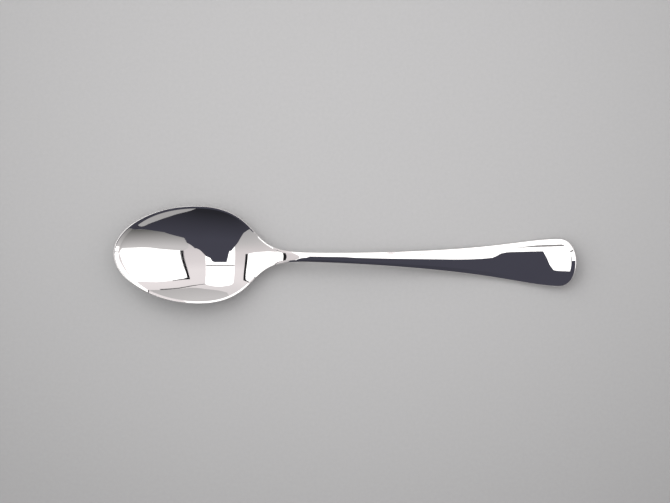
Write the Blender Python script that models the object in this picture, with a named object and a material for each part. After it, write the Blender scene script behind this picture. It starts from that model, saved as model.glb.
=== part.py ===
"""Demitasse spoon: one piece of polished stainless steel, 110 mm long.

The bowl's tip points along -X, the handle's end along +X, and +Z is up. The origin lies
on the table, under the middle of the spoon. Sizes are in millimetres, and stations are
distances from the bowl's tip; the mesh is scaled to metres when it is made.
"""
import bmesh
import bpy
import numpy as np
from mathutils import Matrix, Vector
from mathutils.geometry import interpolate_bezier

MILLIMETRE = 0.001

LENGTH = 110.0
BOWL_HALF_WIDTH = 11.65
NECK_HALF_WIDTH = 1.25
END_HALF_WIDTH = 5.7

# Half of the plan outline, as Bezier knots from the tip to the end of the handle:
# station, half width, direction in degrees, reach of the handle before and after, steps.
OUTLINE = (
    (0.0, 0.0, 90, 0.0, 6.15, 15),
    (20.0, BOWL_HALF_WIDTH, 0, 11.0, 7.7, 9),
    (33.1, 6.0, -46.4, 3.2, 4.3, 10),
    (45.8, NECK_HALF_WIDTH, 0, 8.2, 8.7, 14),
    (85.0, 3.25, 6.1, 13.7, 10.4, 9),
    (105.9, END_HALF_WIDTH, 0, 5.0, 2.6, 9),
    (LENGTH, 0.0, -90, 3.1, 0.0, 0),
)

# Where the sections fan out from: inside the tip of the bowl and inside the handle's end.
TIP_FAN, TIP_FAN_UNTIL = 7.0, 20.0
END_FAN, END_FAN_FROM = 5.5, 98.0

# The border: round the bowl a rim that rises outwards, round the handle a bevel that drops.
TIP_BORDER, END_BORDER = 1.4, 1.25
BORDER_WIDTH = (
    (0.0, TIP_BORDER), (4.0, 1.15), (8.0, 0.85), (16.0, 0.65), (26.0, 0.55), (34.0, 0.4),
    (40.0, 0.4), (50.0, 0.6), (60.0, 0.7), (80.0, 1.1), (LENGTH, END_BORDER),
)
BORDER_DROP = (
    (0.0, -0.32), (4.0, -0.27), (8.0, -0.12), (16.0, -0.055), (28.0, -0.035), (36.0, 0.0),
    (45.0, 0.08), (60.0, 0.13), (80.0, 0.25), (100.0, 0.2), (LENGTH, 0.04),
)
EDGE_HEIGHT = ((0.0, 1.2), (20.0, 1.0), (45.0, 1.2), (60.0, 1.25), (80.0, 1.2), (LENGTH, 1.0))
EDGE_ROUNDING = 0.3

# Side view: heights over the table at each station. The sole line dips this far below the
# table under the bowl and under the handle, so that cutting the spoon flat at the table
# leaves two small worn faces that it rests on. Behind the second one the end turns up.
WEAR = 0.04
TIP_TOP, TIP_THICKNESS = 6.02, 0.88
END_TOP, END_THICKNESS = 3.22, 1.04
RIM_LINE = (
    (0.0, TIP_TOP), (6.0, 6.22), (12.0, 5.9), (18.0, 5.25), (24.0, 4.42), (29.5, 3.5),
    (33.4, 2.86), (35.2, 2.86), (37.2, 3.18), (40.0, 3.86), (44.0, 4.6), (48.0, 4.88),
)
CREST_LINE = (
    (TIP_BORDER, TIP_TOP), (5.0, 5.04), (9.0, 3.97), (13.0, 3.0), (17.0, 2.1), (24.0, 0.96),
    (30.0, 1.29), (33.5, 2.12), (38.5, 3.54), (44.0, 4.69), (52.0, 5.0), (58.0, 4.63),
    (66.0, 3.9), (80.0, 2.64), (90.0, 1.92), (95.0, 1.81), (103.0, 2.37),
    (LENGTH - END_BORDER, END_TOP),
)
CREST_TIP_SLOPE = -0.285
SOLE_LINE = (
    (EDGE_ROUNDING, TIP_TOP - TIP_THICKNESS), (9.0, 2.84), (17.0, 0.98), (25.3, -WEAR),
    (31.5, 0.42), (38.0, 1.68), (45.0, 2.86), (52.0, 3.02), (58.0, 2.65), (66.0, 1.97),
    (80.0, 0.77), (90.0, 0.08), (95.0, -WEAR), (103.0, 0.74),
    (LENGTH - EDGE_ROUNDING, END_TOP - END_THICKNESS),
)

# The hollow of the bowl fades into the crowned top of the handle between these stations.
HOLLOW_ENDS = (42.0, 48.0)
HOLLOW_FULLNESS = -0.08
BACK_FULLNESS = 0.2
CROWN_RADIUS = ((42.0, 1.7), (50.0, 1.9), (60.0, 3.4), (75.0, 9.0), (90.0, 19.5), (LENGTH, 29.0))

# Mesh rows from the crest to the border, across the border, round the edge, along the back.
# The rows on the top and the back crowd together towards the edge by this power.
TOP_ROWS, BORDER_ROWS, EDGE_ROWS, BACK_ROWS = 8, 2, 6, 8
ROW_CROWDING = 1.4

STEEL_COLOUR = (0.76, 0.76, 0.75, 1.0)
STEEL_ROUGHNESS = 0.08


def fair_line(knots, first_slope=None):
    """A smooth curve through a few knots, as a function of the station.

    Second derivatives agree at the knots. The far end is left free of bending, and so is
    the first one unless its slope is given.
    """
    at, height = np.array(knots).T
    gap = np.diff(at)
    rise = np.diff(height) / gap
    system = np.zeros((len(at), len(at)))
    target = np.zeros(len(at))
    for i in range(1, len(at) - 1):
        system[i, i - 1:i + 2] = gap[i], 2 * (gap[i - 1] + gap[i]), gap[i - 1]
        target[i] = 3 * (gap[i] * rise[i - 1] + gap[i - 1] * rise[i])
    if first_slope is None:
        system[0, :2], target[0] = (2, 1), 3 * rise[0]
    else:
        system[0, 0], target[0] = 1, first_slope
    system[-1, -2:], target[-1] = (1, 2), 3 * rise[-1]
    slope = np.linalg.solve(system, target)

    def height_at(station):
        i = np.clip(np.searchsorted(at, station) - 1, 0, len(gap) - 1)
        t = np.clip((station - at[i]) / gap[i], 0.0, 1.0)
        start = (1 + 2 * t) * (1 - t) ** 2 * height[i] + t * (1 - t) ** 2 * gap[i] * slope[i]
        end = t * t * (3 - 2 * t) * height[i + 1] - t * t * (1 - t) * gap[i] * slope[i + 1]
        return start + end

    return height_at


def smooth_step(low, high, value):
    """0 below low, 1 above high and an S between them."""
    t = np.clip((value - low) / (high - low), 0.0, 1.0)
    return t ** 3 * (10 - 15 * t + 6 * t * t)


def bowl_section(across, fullness):
    """Rise from the middle (0) to the edge (1): a parabola at fullness 0, boxier above it."""
    return (1 - fullness) * across ** 2 + fullness * across ** 4


def plan_outline():
    """Points of the half outline and the directions pointing out of it, in plan."""
    points = []
    for knot, following in zip(OUTLINE[:-1], OUTLINE[1:]):
        start, end = Vector(knot[:2]), Vector(following[:2])
        leaving = Vector((np.cos(np.radians(knot[2])), np.sin(np.radians(knot[2]))))
        arriving = Vector((np.cos(np.radians(following[2])), np.sin(np.radians(following[2]))))
        curve = interpolate_bezier(
            start, start + leaving * knot[4], end - arriving * following[3], end, knot[5] + 1)
        points.extend(curve[:-1])
    points.append(end)
    points = np.array(points)
    along = np.gradient(points, axis=0)
    along[0], along[-1] = (0.0, 1.0), (0.0, -1.0)
    outward = np.column_stack((-along[:, 1], along[:, 0]))
    return points, outward / np.linalg.norm(outward, axis=1)[:, None]


def half_spoon_rows():
    """Rows of points over one half of the spoon, from the crest round the edge to the sole."""
    crest = fair_line(CREST_LINE, CREST_TIP_SLOPE)
    rim = fair_line(RIM_LINE)
    sole = fair_line(SOLE_LINE)
    outline, outward = plan_outline()
    station = outline[:, 0]
    border_width = fair_line(BORDER_WIDTH)(station)[:, None]
    border_drop = fair_line(BORDER_DROP)(station)
    edge_height = fair_line(EDGE_HEIGHT)(station)

    # The middle line that each section starts from runs straight below the outline, apart
    # from the fans at both ends.
    tip_shift = TIP_FAN * np.clip(1 - station / TIP_FAN_UNTIL, 0, 1) ** 2
    end_part = np.clip((station - END_FAN_FROM) / (LENGTH - END_FAN_FROM), 0, 1)
    middle = np.column_stack((station + tip_shift - END_FAN * end_part ** 2, 0 * station))

    border = outline - outward * border_width
    edge = outline - outward * EDGE_ROUNDING

    def top_height(point):
        x, y = point.T
        inner_half_width = np.interp(x, border[:, 0], border[:, 1])
        across = np.clip(y / np.maximum(inner_half_width, 1e-6), 0, 1)
        crown = -inner_half_width ** 2 / (2 * fair_line(CROWN_RADIUS)(x))
        handle = smooth_step(*HOLLOW_ENDS, x)
        rise = (1 - handle) * (rim(x) - crest(x)) + handle * crown
        return crest(x) + rise * bowl_section(across, HOLLOW_FULLNESS * (1 - handle))

    edge_top = top_height(border) - border_drop
    edge_bottom = edge_top - edge_height

    def back_height(point):
        x, y = point.T
        half_width = np.interp(x, edge[:, 0], edge[:, 1])
        across = np.clip(y / np.maximum(half_width, 1e-6), 0, 1)
        rise = np.interp(x, edge[:, 0], edge_bottom) - sole(x)
        return sole(x) + rise * bowl_section(across, BACK_FULLNESS)

    rows = []
    for part in np.linspace(0, 1, TOP_ROWS + 1):
        plan = middle + (border - middle) * (1 - (1 - part) ** ROW_CROWDING)
        rows.append(np.column_stack((plan, top_height(plan))))
    for part in np.linspace(0, 1, BORDER_ROWS + 1)[1:]:
        plan = border + (edge - border) * part
        rows.append(np.column_stack((plan, rows[TOP_ROWS][:, 2] - border_drop * part)))
    for angle in np.linspace(np.pi / 2, -np.pi / 2, EDGE_ROWS + 1)[1:]:
        plan = edge + outward * EDGE_ROUNDING * np.cos(angle)
        height = (edge_top + edge_bottom) / 2 + edge_height / 2 * np.sin(angle)
        rows.append(np.column_stack((plan, height)))
    for part in np.linspace(1, 0, BACK_ROWS + 1)[1:]:
        plan = middle + (edge - middle) * (1 - (1 - part) ** ROW_CROWDING)
        rows.append(np.column_stack((plan, back_height(plan))))
    return rows


def polished_steel():
    """Mirror-polished stainless steel."""
    material = bpy.data.materials.new("polished_steel")
    material.use_nodes = True
    shader = material.node_tree.nodes["Principled BSDF"]
    shader.inputs["Base Color"].default_value = STEEL_COLOUR
    shader.inputs["Metallic"].default_value = 1.0
    shader.inputs["Roughness"].default_value = STEEL_ROUGHNESS
    return material


def forge_spoon():
    """The spoon: one half lofted through its rows, mirrored, and worn flat where it rests."""
    forging = bmesh.new()
    shift = Vector((-LENGTH / 2, 0, 0))
    rows = [
        [forging.verts.new((Vector(point) + shift) * MILLIMETRE) for point in row]
        for row in half_spoon_rows()
    ]
    for row, following in zip(rows[:-1], rows[1:]):
        for i in range(len(row) - 1):
            forging.faces.new((row[i], following[i], following[i + 1], row[i + 1]))
    bmesh.ops.mirror(
        forging, geom=forging.verts[:] + forging.edges[:] + forging.faces[:],
        matrix=Matrix.Identity(4), merge_dist=1e-7, axis="Y")
    bmesh.ops.remove_doubles(forging, verts=forging.verts, dist=0.01 * MILLIMETRE)
    bmesh.ops.recalc_face_normals(forging, faces=forging.faces)
    cut = bmesh.ops.bisect_plane(
        forging, geom=forging.verts[:] + forging.edges[:] + forging.faces[:],
        plane_co=(0, 0, 0), plane_no=(0, 0, 1), clear_inner=True)
    rest_edges = [item for item in cut["geom_cut"] if isinstance(item, bmesh.types.BMEdge)]
    bmesh.ops.holes_fill(forging, edges=rest_edges, sides=0)
    bmesh.ops.recalc_face_normals(forging, faces=forging.faces)

    mesh = bpy.data.meshes.new("spoon")
    forging.to_mesh(mesh)
    forging.free()
    mesh.shade_smooth()
    mesh.materials.append(polished_steel())
    spoon = bpy.data.objects.new("spoon", mesh)
    bpy.context.scene.collection.objects.link(spoon)


for leftover in list(bpy.data.objects):
    bpy.data.objects.remove(leftover, do_unlink=True)
forge_spoon()
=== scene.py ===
"""Demitasse spoon in mirror-polished stainless steel, lying on grey paper in a photo studio.

Sizes of the spoon, of the patterns and of the camera's view are in millimetres, and become
metres where a mesh or a place is made. Stations are distances from the bowl's tip along the
spoon. The reach of the table and the studio over it are in metres.
"""
import math

import bmesh
import bpy
import numpy as np
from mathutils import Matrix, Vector
from mathutils.geometry import interpolate_bezier


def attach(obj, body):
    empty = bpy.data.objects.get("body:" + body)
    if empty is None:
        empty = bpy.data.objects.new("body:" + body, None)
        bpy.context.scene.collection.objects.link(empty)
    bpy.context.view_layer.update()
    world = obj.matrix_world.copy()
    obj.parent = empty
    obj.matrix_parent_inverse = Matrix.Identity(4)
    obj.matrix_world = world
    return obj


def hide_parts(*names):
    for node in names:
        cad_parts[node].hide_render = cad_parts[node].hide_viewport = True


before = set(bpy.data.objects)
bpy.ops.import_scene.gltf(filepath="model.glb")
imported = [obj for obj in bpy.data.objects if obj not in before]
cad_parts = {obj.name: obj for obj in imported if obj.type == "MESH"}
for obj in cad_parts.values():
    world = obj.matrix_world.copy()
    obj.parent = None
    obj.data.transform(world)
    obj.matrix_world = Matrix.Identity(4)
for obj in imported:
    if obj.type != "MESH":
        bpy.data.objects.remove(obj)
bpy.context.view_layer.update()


# The spoon is one strip of stainless steel. It is blanked to its outline, rolled thinner at
# the bowl than at the neck, stamped into its dish and its arch with the border coined flat
# round the bowl and bevelled round the handle, and then polished to a mirror.
MILLIMETRE = 0.001
LENGTH = 110.0

# Half of the plan outline, as Bezier knots from the tip to the end of the handle: station,
# half width, direction in degrees, and how far the curve keeps to it before and after.
OUTLINE = (
    (0.0, 0.0, 90, 0.0, 6.15),
    (20.0, 11.65, 0, 11.0, 7.7),
    (33.1, 6.0, -46.4, 3.2, 4.3),
    (45.8, 1.25, 0, 8.2, 8.7),
    (85.0, 3.25, 6.1, 13.7, 10.4),
    (105.9, 5.7, 0, 5.0, 2.6),
    (LENGTH, 0.0, -90, 3.1, 0.0),
)
OUTLINE_STEPS = 240
TIP_FAN, TIP_FAN_UNTIL = 7.0, 20.0
END_FAN, END_FAN_FROM = 5.5, 98.0

# The border, which rises outwards round the bowl and drops round the handle, and the rounded
# edge outside it.
TIP_BORDER, END_BORDER = 1.4, 1.25
BORDER_WIDTH = (
    (0.0, TIP_BORDER), (4.0, 1.15), (8.0, 0.85), (16.0, 0.65), (26.0, 0.55), (34.0, 0.4),
    (37.5, 0.42), (39.5, 0.7), (42.0, 0.62), (45.0, 0.56), (50.0, 0.6), (60.0, 0.7),
    (80.0, 1.1), (LENGTH, END_BORDER),
)
BORDER_DROP = (
    (0.0, -0.325), (4.0, -0.335), (8.0, -0.23), (12.0, -0.165), (16.0, -0.115), (20.0, -0.09),
    (28.0, -0.075), (33.0, -0.08), (36.0, -0.075), (38.0, -0.065), (39.5, -0.01), (41.0, 0.06),
    (43.0, 0.13), (46.0, 0.145), (50.0, 0.168), (55.0, 0.175), (60.0, 0.18), (80.0, 0.3),
    (100.0, 0.24), (105.0, 0.2), (LENGTH, 0.05),
)
EDGE_HEIGHT = ((0.0, 1.2), (20.0, 1.0), (45.0, 1.2), (60.0, 1.25), (80.0, 1.2), (LENGTH, 1.0))
TIP_ROUNDING, END_ROUNDING = 0.3, 0.14
EDGE_ROUNDING = ((0.0, TIP_ROUNDING), (6.0, 0.28), (12.0, 0.16), (20.0, 0.14), (LENGTH, END_ROUNDING))

# Side view: heights over the table along the rim, the middle of the top and the back.
WEAR = 0.04
TIP_TOP, TIP_THICKNESS = 6.02, 0.88
END_TOP, END_THICKNESS = 3.22, 1.04
RIM_LINE = (
    (0.0, TIP_TOP), (6.0, 6.22), (12.0, 5.9), (18.0, 5.25), (24.0, 4.42), (29.5, 3.5),
    (33.4, 2.88), (35.2, 2.93), (37.2, 3.265), (38.5, 3.555), (40.0, 3.925),
    (42.0, 4.375), (44.0, 4.68), (48.0, 4.89),
)
CREST_LINE = (
    (TIP_BORDER, TIP_TOP), (5.0, 5.04), (9.0, 3.97), (13.0, 3.0), (17.0, 2.1), (24.0, 0.96),
    (30.0, 1.29), (33.5, 2.12), (38.5, 3.51), (44.0, 4.74), (52.0, 5.0), (58.0, 4.63),
    (66.0, 3.9), (80.0, 2.64), (90.0, 1.92), (95.0, 1.81), (103.0, 2.37),
    (LENGTH - END_BORDER, END_TOP),
)
CREST_TIP_SLOPE = -0.285
SOLE_LINE = (
    (TIP_ROUNDING, TIP_TOP - TIP_THICKNESS), (9.0, 2.84), (17.0, 0.98), (25.3, -WEAR),
    (31.5, 0.42), (38.0, 1.68), (45.0, 2.86), (52.0, 3.02), (58.0, 2.65), (66.0, 1.97),
    (80.0, 0.77), (90.0, 0.08), (95.0, -WEAR), (103.0, 0.74),
    (LENGTH - END_ROUNDING, END_TOP - END_THICKNESS),
)
HOLLOW_ENDS = (42.0, 48.0)
HOLLOW_FULLNESS, BACK_FULLNESS = -0.08, 0.2
CROWN_RADIUS = ((42.0, 1.7), (50.0, 1.9), (60.0, 3.4), (75.0, 9.0), (90.0, 19.5), (LENGTH, 29.0))


def fair_line(knots, first_slope=None):
    """A smooth curve through a few knots, as a function of the station."""
    at, height = np.array(knots).T
    gap = np.diff(at)
    rise = np.diff(height) / gap
    system = np.zeros((len(at), len(at)))
    target = np.zeros(len(at))
    for i in range(1, len(at) - 1):
        system[i, i - 1:i + 2] = gap[i], 2 * (gap[i - 1] + gap[i]), gap[i - 1]
        target[i] = 3 * (gap[i] * rise[i - 1] + gap[i - 1] * rise[i])
    if first_slope is None:
        system[0, :2], target[0] = (2, 1), 3 * rise[0]
    else:
        system[0, 0], target[0] = 1, first_slope
    system[-1, -2:], target[-1] = (1, 2), 3 * rise[-1]
    slope = np.linalg.solve(system, target)

    def height_at(station):
        i = np.clip(np.searchsorted(at, station) - 1, 0, len(gap) - 1)
        t = np.clip((station - at[i]) / gap[i], 0.0, 1.0)
        start = (1 + 2 * t) * (1 - t) ** 2 * height[i] + t * (1 - t) ** 2 * gap[i] * slope[i]
        end = t * t * (3 - 2 * t) * height[i + 1] - t * t * (1 - t) * gap[i] * slope[i + 1]
        return start + end

    return height_at


def plan_outline():
    """Points of the half outline and the directions pointing out of it, in plan."""
    points = []
    for knot, following in zip(OUTLINE[:-1], OUTLINE[1:]):
        start, end = Vector(knot[:2]), Vector(following[:2])
        leaving = Vector((math.cos(math.radians(knot[2])), math.sin(math.radians(knot[2]))))
        arriving = math.radians(following[2])
        arriving = Vector((math.cos(arriving), math.sin(arriving)))
        curve = interpolate_bezier(
            start, start + leaving * knot[4], end - arriving * following[3], end, OUTLINE_STEPS)
        points.extend(curve[:-1])
    points.append(end)
    points = np.array(points)
    along = np.gradient(points, axis=0)
    along[0], along[-1] = (0.0, 1.0), (0.0, -1.0)
    outward = np.column_stack((-along[:, 1], along[:, 0]))
    return points, outward / np.linalg.norm(outward, axis=1)[:, None]


# The lines that the sections are lofted from: where each section starts, where its border
# starts and where its edge starts to turn, and the heights at any station.
outline, outward = plan_outline()
outline_station = outline[:, 0]
tip_shift = TIP_FAN * np.clip(1 - outline_station / TIP_FAN_UNTIL, 0, 1) ** 2
end_part = np.clip((outline_station - END_FAN_FROM) / (LENGTH - END_FAN_FROM), 0, 1)
foot = np.column_stack((outline_station + tip_shift - END_FAN * end_part ** 2, 0 * outline_station))
border = outline - outward * fair_line(BORDER_WIDTH)(outline_station)[:, None]
edge_bulge = outward * fair_line(EDGE_ROUNDING)(outline_station)[:, None]
edge = outline - edge_bulge
drop = fair_line(BORDER_DROP)(outline_station)
edge_height = fair_line(EDGE_HEIGHT)(outline_station)

STATION_COUNT = 2201
station = np.linspace(0, LENGTH, STATION_COUNT)
crest = fair_line(CREST_LINE, CREST_TIP_SLOPE)
rim = fair_line(RIM_LINE)
sole = fair_line(SOLE_LINE)
crown_radius = fair_line(CROWN_RADIUS)


def top_rise(at, half_width):
    """Height of the border over the middle of the top, and how full the hollow is."""
    t = np.clip((at - HOLLOW_ENDS[0]) / (HOLLOW_ENDS[1] - HOLLOW_ENDS[0]), 0, 1)
    handle = t ** 3 * (10 - 15 * t + 6 * t * t)
    crown = -half_width ** 2 / (2 * crown_radius(at))
    return (1 - handle) * (rim(at) - crest(at)) + handle * crown, HOLLOW_FULLNESS * (1 - handle)


inner_half_width = np.interp(station, border[:, 0], border[:, 1])
edge_half_width = np.interp(station, edge[:, 0], edge[:, 1])
rise, fullness = top_rise(station, inner_half_width)
edge_bottom = crest(border[:, 0]) + top_rise(border[:, 0], border[:, 1])[0] - drop - edge_height
back_rise = np.interp(station, edge[:, 0], edge_bottom) - sole(station)

side_points = np.column_stack((station, 0 * station, 0 * station))
plan_points = np.column_stack((outline, 0 * outline_station))
blank = bpy.data.meshes.new("spoon_polished")
line_ends = np.cumsum((len(station), len(outline)))
blank.from_pydata(
    (np.vstack((side_points, plan_points)) * MILLIMETRE).tolist(),
    [(i, i + 1) for i in range(line_ends[1] - 1) if i + 1 != line_ends[0]], [])
on_outline = blank.attributes.new("on_outline", "BOOLEAN", "EDGE")
on_outline.data.foreach_set("value", np.arange(len(blank.edges)) >= len(station) - 1)
no_side, no_plan = np.zeros((len(station), 3)), np.zeros((len(outline), 3))
line_values = {
    "top": (np.column_stack((crest(station), rise, inner_half_width)), no_plan),
    "back": (np.column_stack((sole(station), back_rise, edge_half_width)), no_plan),
    "fullness": (np.column_stack((fullness / MILLIMETRE,) * 3), no_plan),
    "foot": (no_side, np.column_stack((foot, 0 * drop))),
    "border": (no_side, np.column_stack((border, drop))),
    "edge": (no_side, np.column_stack((edge, edge_height))),
    "bulge": (no_side, np.column_stack((edge_bulge, 0 * drop))),
}
for name, (beside, around) in line_values.items():
    values = blank.attributes.new(name, "FLOAT_VECTOR", "POINT")
    values.data.foreach_set("vector", (np.vstack((beside, around)) * MILLIMETRE).ravel())


def add_node(tree, kind, inputs=None, **settings):
    """A new node with its settings, and with each input linked or set to a value."""
    node = tree.nodes.new(kind)
    for name, value in settings.items():
        setattr(node, name, value)
    for key, value in (inputs or {}).items():
        if isinstance(value, bpy.types.NodeSocket):
            tree.links.new(value, node.inputs[key])
        else:
            node.inputs[key].default_value = value
    return node


def linear(colour):
    """A hex sRGB colour as linear RGBA."""
    parts = [int(colour[i:i + 2], 16) / 255 for i in (1, 3, 5)]
    return *(c / 12.92 if c <= 0.04045 else ((c + 0.055) / 1.055) ** 2.4 for c in parts), 1.0


# Stainless steel, 18/10, buffed with a cloth wheel: a clear mirror of a faintly warm grey.
# The wheel ran along the spoon and left hairlines too fine to see one by one, so they are
# drawn 0.15 mm apart. The pressed sheet keeps a slow wave of some 9 mm in its shine.
steel = bpy.data.materials.new("mirror_polished_stainless_steel")
steel.use_nodes = True
tree = steel.node_tree
place = add_node(tree, "ShaderNodeTexCoord").outputs["Object"]
HAIRLINE_GAP, HAIRLINE_LENGTH, SHEET_WAVE = 0.15, 6.0, 9.0
WAVE_SHARE, CLEAREST, HAZIEST = 0.35, 0.008, 0.022
HAIRLINE_DEPTH, HAIRLINE_STRENGTH = 0.02, 0.005
hairline_place = add_node(tree, "ShaderNodeMapping", {"Vector": place, "Scale": (
    1 / (HAIRLINE_LENGTH * MILLIMETRE), 1 / (HAIRLINE_GAP * MILLIMETRE),
    1 / (HAIRLINE_GAP * MILLIMETRE))})
hairlines = add_node(tree, "ShaderNodeTexNoise", {
    "Vector": hairline_place.outputs[0], "Scale": 1.0, "Detail": 2.0, "Roughness": 0.6})
wave = add_node(tree, "ShaderNodeTexNoise", {
    "Vector": place, "Scale": 1 / (SHEET_WAVE * MILLIMETRE), "Detail": 1.0})
haze = add_node(tree, "ShaderNodeMix", {
    "Factor": WAVE_SHARE, "A": hairlines.outputs["Fac"], "B": wave.outputs["Fac"]})
finish = add_node(tree, "ShaderNodeMapRange", {
    "Value": haze.outputs["Result"], "From Min": 0.3, "From Max": 0.75,
    "To Min": CLEAREST, "To Max": HAZIEST})
tone = add_node(tree, "ShaderNodeMix", {
    "Factor": wave.outputs["Fac"], "A": linear("#E4E2E1"), "B": linear("#EAE8E6")},
    data_type="RGBA")
relief = add_node(tree, "ShaderNodeBump", {
    "Height": hairlines.outputs["Fac"], "Strength": HAIRLINE_STRENGTH,
    "Distance": HAIRLINE_DEPTH * MILLIMETRE})
shader = tree.nodes["Principled BSDF"]
shader.inputs["Metallic"].default_value = 1.0
tree.links.new(tone.outputs["Result"], shader.inputs["Base Color"])
tree.links.new(finish.outputs["Result"], shader.inputs["Roughness"])
tree.links.new(relief.outputs["Normal"], shader.inputs["Normal"])

# The loft as a node tree: a grid whose columns follow the outline and whose rows run from
# the middle of the top over the border and round the edge to the middle of the back.
loft = bpy.data.node_groups.new("spoon_loft", "GeometryNodeTree")
loft.interface.new_socket("Geometry", in_out="OUTPUT", socket_type="NodeSocketGeometry")
loft.interface.new_socket("Lines", in_out="INPUT", socket_type="NodeSocketGeometry")
SECTIONS, ROW_CROWDING, SEAM = 361, 1.4, 0.005
TOP_STRIPS, BORDER_STRIPS, EDGE_STRIPS, BACK_STRIPS = 50, 6, 12, 28
STRIPS = TOP_STRIPS + BORDER_STRIPS + EDGE_STRIPS + BACK_STRIPS
loft_sizes = {
    "Length": ("NodeSocketFloat", LENGTH * MILLIMETRE),
    "Sections": ("NodeSocketInt", SECTIONS),
    "Rows": ("NodeSocketInt", STRIPS + 1),
    "Border starts": ("NodeSocketFloat", TOP_STRIPS / STRIPS),
    "Edge starts": ("NodeSocketFloat", (TOP_STRIPS + BORDER_STRIPS) / STRIPS),
    "Back starts": ("NodeSocketFloat", (STRIPS - BACK_STRIPS) / STRIPS),
    "Row crowding": ("NodeSocketFloat", ROW_CROWDING),
    "Back fullness": ("NodeSocketFloat", BACK_FULLNESS),
    "Seam": ("NodeSocketFloat", SEAM * MILLIMETRE),
    "Steel": ("NodeSocketMaterial", steel),
}
sockets = {
    name: loft.interface.new_socket(name, in_out="INPUT", socket_type=kind).identifier
    for name, (kind, value) in loft_sizes.items()
}
given = add_node(loft, "NodeGroupInput").outputs
outline_edges = add_node(
    loft, "GeometryNodeInputNamedAttribute", {"Name": "on_outline"}, data_type="BOOLEAN")
side_edges = add_node(loft, "FunctionNodeBooleanMath", {0: outline_edges.outputs[0]}, operation="NOT")
plan_curve = add_node(loft, "GeometryNodeMeshToCurve", {
    "Mesh": given["Lines"], "Selection": outline_edges.outputs[0]}).outputs[0]
side_curve = add_node(loft, "GeometryNodeMeshToCurve", {
    "Mesh": given["Lines"], "Selection": side_edges.outputs[0]}).outputs[0]
grid = add_node(loft, "GeometryNodeMeshGrid", {
    "Size X": 1.0, "Size Y": 1.0, "Vertices X": given["Sections"], "Vertices Y": given["Rows"]})
grid_place = add_node(loft, "ShaderNodeVectorMath", {
    0: add_node(loft, "GeometryNodeInputPosition").outputs[0], 1: (0.5, 0.5, 0.0)}, operation="ADD")
grid_place = add_node(loft, "ShaderNodeSeparateXYZ", {0: grid_place.outputs[0]}).outputs

# How far each row has come across the top, the border, the edge and the back.
across_top = add_node(loft, "ShaderNodeMapRange", {
    "Value": grid_place["Y"], "From Max": given["Border starts"], "To Min": 1.0, "To Max": 0.0})
across_top = add_node(loft, "ShaderNodeMath", {
    0: across_top.outputs[0], 1: given["Row crowding"]}, operation="POWER")
across_top = add_node(loft, "ShaderNodeMath", {0: 1.0, 1: across_top.outputs[0]}, operation="SUBTRACT")
across_border = add_node(loft, "ShaderNodeMapRange", {
    "Value": grid_place["Y"], "From Min": given["Border starts"], "From Max": given["Edge starts"]})
round_edge = add_node(loft, "ShaderNodeMapRange", {
    "Value": grid_place["Y"], "From Min": given["Edge starts"], "From Max": given["Back starts"],
    "To Max": math.pi})
across_back = add_node(loft, "ShaderNodeMapRange", {
    "Value": grid_place["Y"], "From Min": given["Back starts"]})
across_back = add_node(loft, "ShaderNodeMath", {
    0: across_back.outputs[0], 1: given["Row crowding"]}, operation="POWER")

# The plan place of each point.
around = {}
for name in ("foot", "border", "edge", "bulge"):
    values = add_node(loft, "GeometryNodeInputNamedAttribute", {"Name": name}, data_type="FLOAT_VECTOR")
    around[name] = add_node(loft, "GeometryNodeSampleCurve", {
        "Curves": plan_curve, "Value": values.outputs[0], "Factor": grid_place["X"]},
        data_type="FLOAT_VECTOR", mode="FACTOR", use_all_curves=True).outputs["Value"]
on_top = add_node(loft, "ShaderNodeMix", {
    "Factor": across_top.outputs[0], 4: around["foot"], 5: around["border"]}, data_type="VECTOR")
on_top = on_top.outputs[1]
to_edge = add_node(loft, "ShaderNodeMix", {
    "Factor": across_border.outputs[0], 4: on_top, 5: around["edge"]}, data_type="VECTOR")
bulge = add_node(loft, "ShaderNodeMath", {0: round_edge.outputs[0]}, operation="SINE")
bulge = add_node(loft, "ShaderNodeVectorMath", {
    0: around["bulge"], "Scale": bulge.outputs[0]}, operation="SCALE")
round_out = add_node(loft, "ShaderNodeVectorMath", {
    0: to_edge.outputs[1], 1: bulge.outputs[0]}, operation="ADD")
plan = add_node(loft, "ShaderNodeMix", {
    "Factor": across_back.outputs[0], 4: round_out.outputs[0], 5: around["foot"]}, data_type="VECTOR")
plan = add_node(loft, "ShaderNodeSeparateXYZ", {0: plan.outputs[1]}).outputs
on_top = add_node(loft, "ShaderNodeSeparateXYZ", {0: on_top}).outputs

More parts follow.
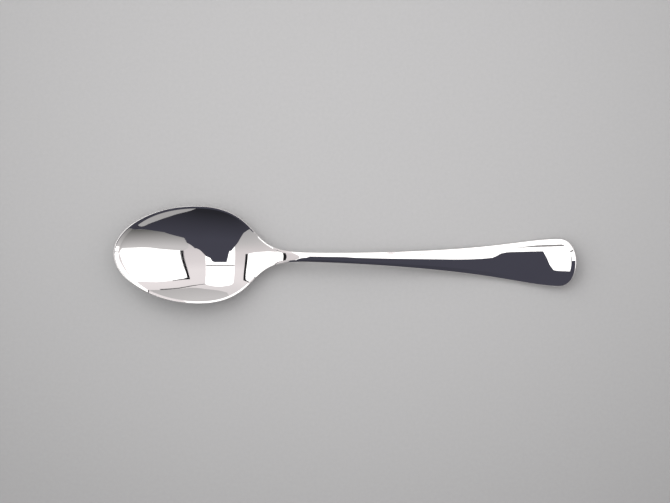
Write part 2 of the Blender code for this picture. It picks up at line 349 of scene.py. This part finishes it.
# The heights of the top and of the back there: the middle line, plus the rise to the border
# by a share that grows with the square, and where the hollow is full the fourth power, of
# the way across.
LEAST_HALF_WIDTH = 1e-9
heights = {}
for name, at in (("top", on_top), ("back", plan)):
    values = add_node(loft, "GeometryNodeInputNamedAttribute", {"Name": name}, data_type="FLOAT_VECTOR")
    line = add_node(loft, "GeometryNodeSampleCurve", {
        "Curves": side_curve, "Value": values.outputs[0], "Length": at["X"]},
        data_type="FLOAT_VECTOR", mode="LENGTH", use_all_curves=True)
    line = add_node(loft, "ShaderNodeSeparateXYZ", {0: line.outputs["Value"]}).outputs
    if name == "top":
        values = add_node(loft, "GeometryNodeInputNamedAttribute", {"Name": "fullness"},
                          data_type="FLOAT_VECTOR")
        full = add_node(loft, "GeometryNodeSampleCurve", {
            "Curves": side_curve, "Value": values.outputs[0], "Length": at["X"]},
            data_type="FLOAT_VECTOR", mode="LENGTH", use_all_curves=True)
        full = add_node(loft, "ShaderNodeSeparateXYZ", {0: full.outputs["Value"]}).outputs["X"]
    else:
        full = given["Back fullness"]
    half_width = add_node(loft, "ShaderNodeMath", {
        0: line["Z"], 1: LEAST_HALF_WIDTH}, operation="MAXIMUM")
    part = add_node(loft, "ShaderNodeMath", {
        0: at["Y"], 1: half_width.outputs[0]}, operation="DIVIDE", use_clamp=True)
    square = add_node(loft, "ShaderNodeMath", {
        0: part.outputs[0], 1: part.outputs[0]}, operation="MULTIPLY")
    share = add_node(loft, "ShaderNodeMath", {0: square.outputs[0], 1: 1.0}, operation="SUBTRACT")
    share = add_node(loft, "ShaderNodeMath", {
        0: share.outputs[0], 1: full, 2: 1.0}, operation="MULTIPLY_ADD")
    share = add_node(loft, "ShaderNodeMath", {
        0: share.outputs[0], 1: square.outputs[0]}, operation="MULTIPLY")
    heights[name] = add_node(loft, "ShaderNodeMath", {
        0: share.outputs[0], 1: line["Y"], 2: line["X"]}, operation="MULTIPLY_ADD").outputs[0]

# The border rises or drops outwards, the edge turns under, and the worn spots end at the table.
border_drop = add_node(loft, "ShaderNodeSeparateXYZ", {0: around["border"]}).outputs["Z"]
edge_drop = add_node(loft, "ShaderNodeSeparateXYZ", {0: around["edge"]}).outputs["Z"]
turned = add_node(loft, "ShaderNodeMath", {0: round_edge.outputs[0]}, operation="COSINE")
turned = add_node(loft, "ShaderNodeMath", {
    0: turned.outputs[0], 1: -0.5, 2: 0.5}, operation="MULTIPLY_ADD")
fallen = add_node(loft, "ShaderNodeMath", {
    0: border_drop, 1: across_border.outputs[0]}, operation="MULTIPLY")
fallen = add_node(loft, "ShaderNodeMath", {
    0: edge_drop, 1: turned.outputs[0], 2: fallen.outputs[0]}, operation="MULTIPLY_ADD")
upper = add_node(loft, "ShaderNodeMath", {
    0: heights["top"], 1: fallen.outputs[0]}, operation="SUBTRACT")
on_back = add_node(loft, "FunctionNodeCompare", {
    "A": grid_place["Y"], "B": given["Back starts"]}, operation="GREATER_THAN")
height = add_node(loft, "GeometryNodeSwitch", {
    "Switch": on_back.outputs[0], "False": upper.outputs[0], "True": heights["back"]},
    input_type="FLOAT")
height = add_node(loft, "ShaderNodeMath", {0: height.outputs[0], 1: 0.0}, operation="MAXIMUM")
middle = add_node(loft, "ShaderNodeMath", {
    0: given["Length"], 1: -0.5, 2: plan["X"]}, operation="MULTIPLY_ADD")
formed = add_node(loft, "ShaderNodeCombineXYZ", {
    "X": middle.outputs[0], "Y": plan["Y"], "Z": height.outputs[0]})
half = add_node(loft, "GeometryNodeSetPosition", {
    "Geometry": grid.outputs["Mesh"], "Position": formed.outputs[0]}).outputs[0]

# The other half, joined along the middle.
other = add_node(loft, "GeometryNodeTransform", {"Geometry": half, "Scale": (1.0, -1.0, 1.0)})
other = add_node(loft, "GeometryNodeFlipFaces", {"Mesh": other.outputs[0]})
whole = add_node(loft, "GeometryNodeJoinGeometry", {"Geometry": half})
loft.links.new(other.outputs[0], whole.inputs[0])
whole = add_node(loft, "GeometryNodeMergeByDistance", {
    "Geometry": whole.outputs[0], "Distance": given["Seam"]})
whole = add_node(loft, "GeometryNodeSetShadeSmooth", {"Geometry": whole.outputs[0]})
whole = add_node(loft, "GeometryNodeRealizeInstances", {"Geometry": whole.outputs[0]})
whole = add_node(loft, "GeometryNodeSetMaterial", {
    "Geometry": whole.outputs[0], "Material": given["Steel"]})
add_node(loft, "NodeGroupOutput", {"Geometry": whole.outputs[0]})

spoon = bpy.data.objects.new("spoon_polished", blank)
bpy.context.scene.collection.objects.link(spoon)
pressing = spoon.modifiers.new("loft", "NODES")
pressing.node_group = loft
for name, (kind, value) in loft_sizes.items():
    pressing[sockets[name]] = value
lofted = bpy.data.meshes.new_from_object(
    spoon.evaluated_get(bpy.context.evaluated_depsgraph_get()))
spoon.modifiers.remove(pressing)
spoon.data = lofted
sheet = bmesh.new()
sheet.from_mesh(lofted)
bmesh.ops.recalc_face_normals(sheet, faces=sheet.faces)
sheet.to_mesh(lofted)
sheet.free()
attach(spoon, "root")
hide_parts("spoon")


# The table is a sheet of matt grey paper, laid flat and wide enough to have no edge in view.
# A pool of light is painted into its colour: palest just behind the spoon, where the lamps
# light it most, with painted shade that darkens it softly all round from there.
paper = bpy.data.materials.new("matt_grey_paper")
paper.use_nodes = True
tree = paper.node_tree
place = add_node(tree, "ShaderNodeTexCoord").outputs["Object"]
# Real fibres are far finer. They are drawn 0.8 mm wide, so that they show at all.
PAPER_FIBRE = 0.8
fibre = add_node(tree, "ShaderNodeTexNoise", {
    "Vector": place, "Scale": 1 / (PAPER_FIBRE * MILLIMETRE), "Detail": 3.0})
# The painted pool of light: the paper's colour is palest at this spot and painted darker outwards.
PAINTED_LIGHT_POOL, POOL_HALF_LENGTH, POOL_HALF_WIDTH = (-6.0, 42.0, 0.0), 160.0, 150.0
POOL_END, POOL_SOFTNESS = 0.85, 0.7
pool_place = add_node(tree, "ShaderNodeVectorMath", {
    0: place, 1: [c * MILLIMETRE for c in PAINTED_LIGHT_POOL]}, operation="SUBTRACT")
pool_place = add_node(tree, "ShaderNodeMapping", {"Vector": pool_place.outputs[0], "Scale": (
    1 / (POOL_HALF_LENGTH * MILLIMETRE), 1 / (POOL_HALF_WIDTH * MILLIMETRE), 1.0)})
pool = add_node(tree, "ShaderNodeVectorMath", {
    0: pool_place.outputs[0], 1: pool_place.outputs[0]}, operation="DOT_PRODUCT")
shade = add_node(tree, "ShaderNodeMath", {
    0: pool.outputs["Value"], 1: POOL_END, 2: POOL_SOFTNESS}, operation="SMOOTH_MIN")
# Painted light and shade: pale paper colour inside the pool, darker paper colour around it.
painted_light_pool_tone = add_node(tree, "ShaderNodeMix", {
    "Factor": shade.outputs[0], "A": linear("#B9B9B9"), "B": linear("#8A8A8A")}, data_type="RGBA")
speck = add_node(tree, "ShaderNodeMix", {
    "Factor": fibre.outputs["Fac"], "A": linear("#F6F6F6"), "B": linear("#FFFFFF")}, data_type="RGBA")
paper_tone = add_node(tree, "ShaderNodeMix", {
    "Factor": 1.0, "A": painted_light_pool_tone.outputs["Result"], "B": speck.outputs["Result"]},
    data_type="RGBA", blend_type="MULTIPLY")
shader = tree.nodes["Principled BSDF"]
shader.inputs["Roughness"].default_value = 0.9
shader.inputs["Specular IOR Level"].default_value = 0.1
tree.links.new(paper_tone.outputs["Result"], shader.inputs["Base Color"])
TABLE_REACH, TABLE_GAP = 9.0, 0.00002
table_mesh = bpy.data.meshes.new("table")
table_mesh.from_pydata(
    [(x * TABLE_REACH, y * TABLE_REACH, -TABLE_GAP) for x, y in ((-1, -1), (1, -1), (1, 1), (-1, 1))],
    [], [(0, 1, 2, 3)])
table_mesh.materials.append(paper)
table = bpy.data.objects.new("table", table_mesh)
bpy.context.scene.collection.objects.link(table)


# The studio over the table is what the steel mirrors: a bright ceiling panel with a seam, a
# soft lamp in a dark frame at each side, a dark hood over the camera, a dark cloth on the near
# side and pale walls. They are flat cards hung over the table, and the world is the rest.
LAMP_GLOW, CARD_GLOW = 2.0, 1.0


# The corners are given per metre of height, so that they read as the slopes of the lines of
# sight from the spoon: to the right, and away from the near side. The height is in metres.
def hang_card(name, height, corners, near, far, strength, fade=(0, 1), shades_table=True):
    """A flat glowing or dark card, fading from a near to a far colour; some don't shade the table."""
    mesh = bpy.data.meshes.new(name)
    mesh.from_pydata(
        [(x * height, y * height, height) for x, y in corners], [], [range(len(corners))])
    cloth = bpy.data.materials.new(name)
    cloth.use_nodes = True
    tree = cloth.node_tree
    tree.nodes.remove(tree.nodes["Principled BSDF"])
    place = add_node(tree, "ShaderNodeTexCoord").outputs["Object"]
    depth = add_node(tree, "ShaderNodeSeparateXYZ", {0: place})
    part = add_node(tree, "ShaderNodeMapRange", {
        "Value": depth.outputs["Y"], "From Min": fade[0] * height, "From Max": fade[1] * height})
    glow = add_node(tree, "ShaderNodeMix", {
        "Factor": part.outputs[0], "A": linear(near), "B": linear(far)}, data_type="RGBA")
    lamp = add_node(tree, "ShaderNodeEmission", {"Color": glow.outputs["Result"], "Strength": strength})
    tree.links.new(lamp.outputs[0], tree.nodes["Material Output"].inputs["Surface"])
    mesh.materials.append(cloth)
    card = bpy.data.objects.new(name, mesh)
    card.visible_camera = False
    card.visible_diffuse = shades_table
    bpy.context.scene.collection.objects.link(card)


hang_card("ceiling_panel", 3.3, (
    (-0.299, -0.30), (-0.30, 0.05), (-0.31, 0.40), (-0.345, 0.83), (-0.345, 1.0), (-0.278, 1.065),
    (-0.095, 1.104), (0.054, 1.082), (0.195, 1.015), (0.225, 0.95), (0.222, 0.60), (0.226, 0.40),
    (0.236, 0.03), (0.238, -0.30)), "#FFFFFF", "#FFFFFF", LAMP_GLOW)
hang_card("panel_seam", 3.25, (
    (-0.305, 0.297), (0.226, 0.297), (0.226, 0.335), (-0.305, 0.335)),
    "#9A9899", "#9A9899", CARD_GLOW)
hang_card("wall_rail", 3.3, (
    (0.23, 0.965), (0.30, 0.98), (0.379, 1.01), (0.426, 1.055), (0.52, 1.09), (0.52, 1.125),
    (0.426, 1.09), (0.379, 1.045), (0.30, 1.0), (0.23, 0.985)), "#6C6B6C", "#6C6B6C", CARD_GLOW)
hang_card("far_wall", 3.4, (
    (0.52, 1.12), (0.379, 1.085), (0.228, 1.18), (-0.06, 1.28), (-0.254, 1.383), (-0.3, 1.5),
    (-0.4, 2.6), (1.6, 2.6), (1.2, 1.3)), "#C6C4C5", "#D8D6D7", CARD_GLOW, (1.1, 1.6))
hang_card("right_lamp", 3.1, (
    (0.3855, -0.117), (0.384, 0.04), (0.3825, 0.40), (0.381, 0.59), (0.38, 0.70), (0.399, 0.755),
    (0.433, 0.80), (0.469, 0.828), (0.509, 0.863), (0.59, 0.885), (0.585, 0.81), (0.55, 0.66),
    (0.561, 0.51), (0.587, 0.38), (0.595, -0.17), (0.528, -0.21), (0.462, -0.184), (0.434, -0.159),
    (0.399, -0.126)), "#FFFFFF", "#FFFFFF", LAMP_GLOW)
hang_card("right_lamp_frame", 3.05, (
    (0.3895, -0.117), (0.3875, 0.04), (0.387, 0.215), (0.3875, 0.40), (0.387, 0.59), (0.3868, 0.70),
    (0.399, 0.738), (0.433, 0.788), (0.433, 0.806), (0.40, 0.772), (0.3745, 0.772), (0.378, 0.59),
    (0.3808, 0.40), (0.382, 0.215), (0.3828, 0.04), (0.384, -0.119)),
    "#28282A", "#28282A", CARD_GLOW, shades_table=False)
hang_card("right_lamp_skirt", 3.15, (
    (0.385, -0.117), (0.434, -0.159), (0.528, -0.21), (1.0, -0.25), (1.0, -0.95), (0.62, -0.82),
    (0.50, -0.715), (0.446, -0.66), (0.41, -0.58), (0.388, -0.48), (0.378, -0.315), (0.376, -0.20)),
    "#5E5E5C", "#D9D7D8", CARD_GLOW, (-0.80, -0.22))
hang_card("left_lamp", 3.1, (
    (-0.565, -0.068), (-0.562, 0.14), (-0.562, 0.80), (-0.57, 0.85), (-0.55, 2.6), (-3.0, 2.6),
    (-3.0, -1.6), (-0.80, -0.235), (-0.65, -0.14), (-0.616, -0.108)),
    "#FFFFFF", "#FFFFFF", LAMP_GLOW)
hang_card("left_lamp_skirt", 3.1, (
    (-0.652, -0.14), (-0.80, -0.235), (-3.0, -1.6), (-3.0, -2.6), (-0.656, -0.75)),
    "#FFFFFF", "#FFFFFF", LAMP_GLOW, shades_table=False)
hang_card("left_lamp_frame", 3.05, (
    (-0.525, -0.065), (-0.52, 0.14), (-0.521, 0.34), (-0.525, 0.75), (-0.526, 0.85), (-0.56, 0.86),
    (-0.60, 0.84), (-0.60, 0.82), (-0.57, 0.83), (-0.562, 0.80), (-0.562, 0.14), (-0.565, -0.068)),
    "#28282A", "#28282A", CARD_GLOW, shades_table=False)
hang_card("camera_hood", 2.6, (
    (-0.22, -0.165), (-0.187, -0.14), (-0.167, -0.04), (-0.153, 0.08), (-0.136, 0.21), (0.095, 0.21),
    (0.13, 0.185), (0.165, 0.085), (0.226, 0.034), (0.298, -0.148), (0.353, -0.232)),
    "#4A4A56", "#4A4A56", CARD_GLOW, shades_table=False)
hang_card("dark_cloth", 2.7, (
    (-0.22, -0.15), (-0.383, -0.455), (-0.516, -0.797), (-1.19, -1.85), (0.29, -1.85), (0.485, -1.18),
    (0.575, -0.95), (0.588, -0.80), (0.45, -0.66), (0.39, -0.50), (0.38, -0.345), (0.341, -0.195)),
    "#2C2C32", "#4A4A56", CARD_GLOW, (-1.6, -0.5), shades_table=False)

# A window behind on the left, which lights the paper but isn't mirrored in the steel.
WINDOW_PLACE, WINDOW_WIDTH, WINDOW_POWER = Vector((-1.2, 1.3, 1.7)), 1.2, 8.5
window = bpy.data.lights.new("window", "AREA")
window.size = WINDOW_WIDTH
window.energy = WINDOW_POWER
window_light = bpy.data.objects.new("window", window)
window_light.location = WINDOW_PLACE
window_light.rotation_euler = (-WINDOW_PLACE).to_track_quat("-Z", "Y").to_euler()
window_light.visible_glossy = False
bpy.context.scene.collection.objects.link(window_light)

# The walls, from the near side to the far side.
walls = bpy.data.worlds.new("studio_walls")
walls.use_nodes = True
tree = walls.node_tree
facing = add_node(tree, "ShaderNodeSeparateXYZ", {
    0: add_node(tree, "ShaderNodeTexCoord").outputs["Generated"]})
part = add_node(tree, "ShaderNodeMapRange", {
    "Value": facing.outputs["Y"], "From Min": -1.0, "From Max": 1.0})
wall_tone = add_node(tree, "ShaderNodeValToRGB", {"Fac": part.outputs[0]})
ramp = wall_tone.color_ramp.elements
ramp[0].position, ramp[0].color = 0.0, linear("#AEADAE")
ramp[1].position, ramp[1].color = 1.0, linear("#E6E3E4")
for at, colour in (
        (0.2, "#BAB9BA"), (0.32, "#CFCDCE"), (0.45, "#EAE4E6"), (0.6, "#F2ECEE"), (0.7, "#FFF9FB"),
        (0.82, "#FEF8FA"), (0.87, "#F4EFF1")):
    stop = ramp.new(at)
    stop.color = linear(colour)
tree.links.new(wall_tone.outputs["Color"], tree.nodes["Background"].inputs["Color"])
bpy.context.scene.world = walls


# The camera looks straight down, turned by the small angle at which the spoon lies in the
# picture. The picture spans 158.9 mm at the height of the bowl's rim.
CAMERA_DISTANCE, PICTURE_WIDTH, PICTURE_LEVEL, SENSOR = 650.0, 158.9, 5.0, 36.0
CAMERA_RIGHT, CAMERA_AWAY, CAMERA_TURN = -2.5, 1.5, 1.243
view = bpy.data.cameras.new("camera")
view.sensor_width = SENSOR
view.lens = SENSOR * CAMERA_DISTANCE / PICTURE_WIDTH
camera = bpy.data.objects.new("camera", view)
camera.location = Vector((CAMERA_RIGHT, CAMERA_AWAY, PICTURE_LEVEL + CAMERA_DISTANCE)) * MILLIMETRE
camera.rotation_euler = (0, 0, math.radians(CAMERA_TURN))
bpy.context.scene.collection.objects.link(camera)
bpy.context.scene.camera = camera
bpy.context.scene.view_settings.view_transform = "Standard"
